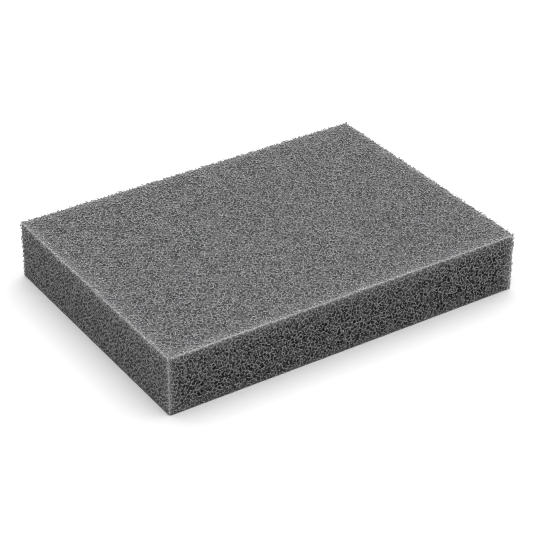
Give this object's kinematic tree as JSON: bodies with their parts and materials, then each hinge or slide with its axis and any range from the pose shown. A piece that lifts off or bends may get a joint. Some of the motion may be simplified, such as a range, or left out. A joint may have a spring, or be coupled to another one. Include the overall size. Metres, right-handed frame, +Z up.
{
  "type": "foam sheet",
  "caption": "Rectangular sheet of dark grey open-cell reticulated foam, knife-cut square on all faces.",
  "frame": {"origin": "centre of the underside, where the sheet lies on a surface", "axes": "+X along the length, +Y across the width, +Z up through the thickness"},
  "size_m": [0.254, 0.185, 0.04],
  "materials": {
    "foam": "matt open-cell polyurethane foam"
  },
  "bodies": {
    "root": {"foam_sheet": "foam"}
  },
  "joints": []
}
